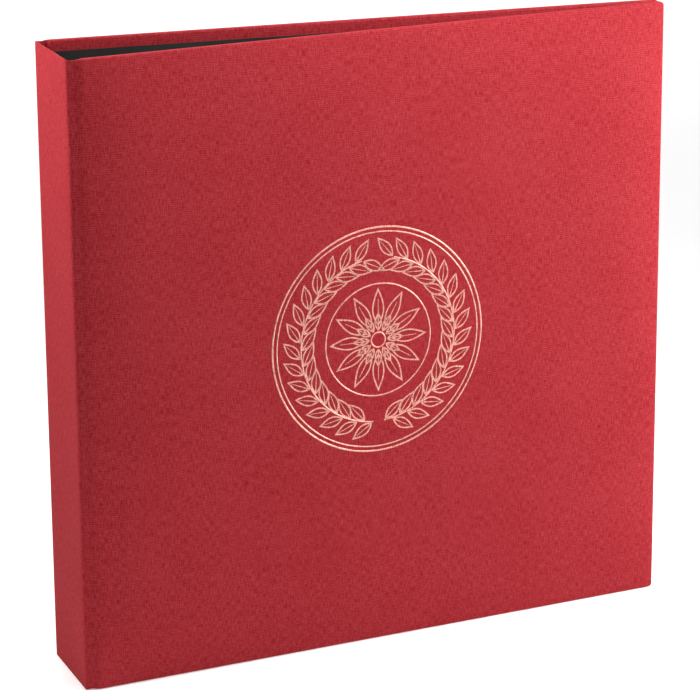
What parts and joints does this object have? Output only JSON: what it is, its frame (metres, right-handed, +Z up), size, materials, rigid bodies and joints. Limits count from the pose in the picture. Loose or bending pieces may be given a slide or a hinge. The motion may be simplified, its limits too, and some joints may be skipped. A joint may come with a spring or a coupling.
{
  "type": "stamp album",
  "caption": "Cloth-covered ring-binder stamp album with hinged cover boards, a wide spine, an opening ring mechanism and punched stock leaves; stands upright or lies flat.",
  "frame": {"origin": "middle of the album's footprint on the surface that it stands on", "axes": "+Z up, -X towards the spine's outer face, +X to the fore edge, -Y to the front cover"},
  "size_m": [0.25, 0.042, 0.245],
  "materials": {
    "red_cloth": "fine linen-weave book cloth, matt",
    "black_lining": "matt black endpaper",
    "grey_board": "raw grey board, covered by cloth and lining",
    "nickel_steel": "bright nickel-plated steel",
    "black_card": "matt black leaf card",
    "clear_film": "clear glossy film strips"
  },
  "bodies": {
    "spine": {"spine_board": "grey_board", "spine_cloth": "red_cloth", "spine_lining": "black_lining", "front_hinge_cloth": "red_cloth", "back_hinge_cloth": "red_cloth", "front_hinge_lining": "black_lining", "back_hinge_lining": "black_lining", "ring_base": "nickel_steel", "base_rivets": "nickel_steel"},
    "front_cover": {"front_board": "grey_board", "front_cloth": "red_cloth", "front_lining": "black_lining"},
    "back_cover": {"back_board": "grey_board", "back_cloth": "red_cloth", "back_lining": "black_lining"},
    "front_rings": {"front_blade": "nickel_steel", "front_half_ring_1": "nickel_steel", "front_half_ring_2": "nickel_steel", "front_half_ring_3": "nickel_steel", "front_half_ring_4": "nickel_steel"},
    "back_rings": {"back_blade": "nickel_steel", "back_half_ring_1": "nickel_steel", "back_half_ring_2": "nickel_steel", "back_half_ring_3": "nickel_steel", "back_half_ring_4": "nickel_steel"},
    "leaf_1": {"leaf_1_card": "black_card", "leaf_1_strips": "clear_film"},
    "leaf_2": {"leaf_2_card": "black_card", "leaf_2_strips": "clear_film"},
    "leaf_3": {"leaf_3_card": "black_card", "leaf_3_strips": "clear_film"},
    "leaf_4": {"leaf_4_card": "black_card", "leaf_4_strips": "clear_film"}
  },
  "joints": [
    {"name": "front_cover_hinge", "type": "hinge", "parent": "spine", "child": "front_cover", "pos_m": [-0.1235, -0.0202, 0.1225], "axis": [0, 0, -1], "range_deg": [0, 94.1], "deforming": ["front_hinge_cloth", "front_hinge_lining"]},
    {"name": "back_cover_hinge", "type": "hinge", "parent": "spine", "child": "back_cover", "pos_m": [-0.1235, 0.0202, 0.1225], "axis": [0, 0, 1], "range_deg": [0, 94.1], "deforming": ["back_hinge_cloth", "back_hinge_lining"]},
    {"name": "front_rings_hinge", "type": "hinge", "parent": "spine", "child": "front_rings", "pos_m": [-0.1204, -0.0085, 0.1225], "axis": [0, 0, -1], "range_deg": [0, 10.5]},
    {"name": "back_rings_hinge", "type": "hinge", "parent": "spine", "child": "back_rings", "pos_m": [-0.1204, 0.0085, 0.1225], "axis": [0, 0, 1], "range_deg": [0, 10.5]},
    {"name": "leaf_1_turn", "type": "hinge", "parent": "spine", "child": "leaf_1", "pos_m": [-0.10735, 0, 0.1225], "axis": [0, 0, -1], "range_deg": [0, 92.74]},
    {"name": "leaf_2_turn", "type": "hinge", "parent": "spine", "child": "leaf_2", "pos_m": [-0.10735, 0, 0.1225], "axis": [0, 0, -1], "range_deg": [0, 90.39]},
    {"name": "leaf_3_turn", "type": "hinge", "parent": "spine", "child": "leaf_3", "pos_m": [-0.10735, 0, 0.1225], "axis": [0, 0, 1], "range_deg": [0, 90.39]},
    {"name": "leaf_4_turn", "type": "hinge", "parent": "spine", "child": "leaf_4", "pos_m": [-0.10735, 0, 0.1225], "axis": [0, 0, 1], "range_deg": [0, 92.74]}
  ],
  "couplings": [
    {"joint": "back_rings_hinge", "follows": "front_rings_hinge", "ratio": 1},
    {"joint": "leaf_1_turn", "follows": "front_cover_hinge", "ratio": 0.985},
    {"joint": "leaf_2_turn", "follows": "front_cover_hinge", "ratio": 0.96},
    {"joint": "leaf_3_turn", "follows": "back_cover_hinge", "ratio": 0.96},
    {"joint": "leaf_4_turn", "follows": "back_cover_hinge", "ratio": 0.985}
  ]
}
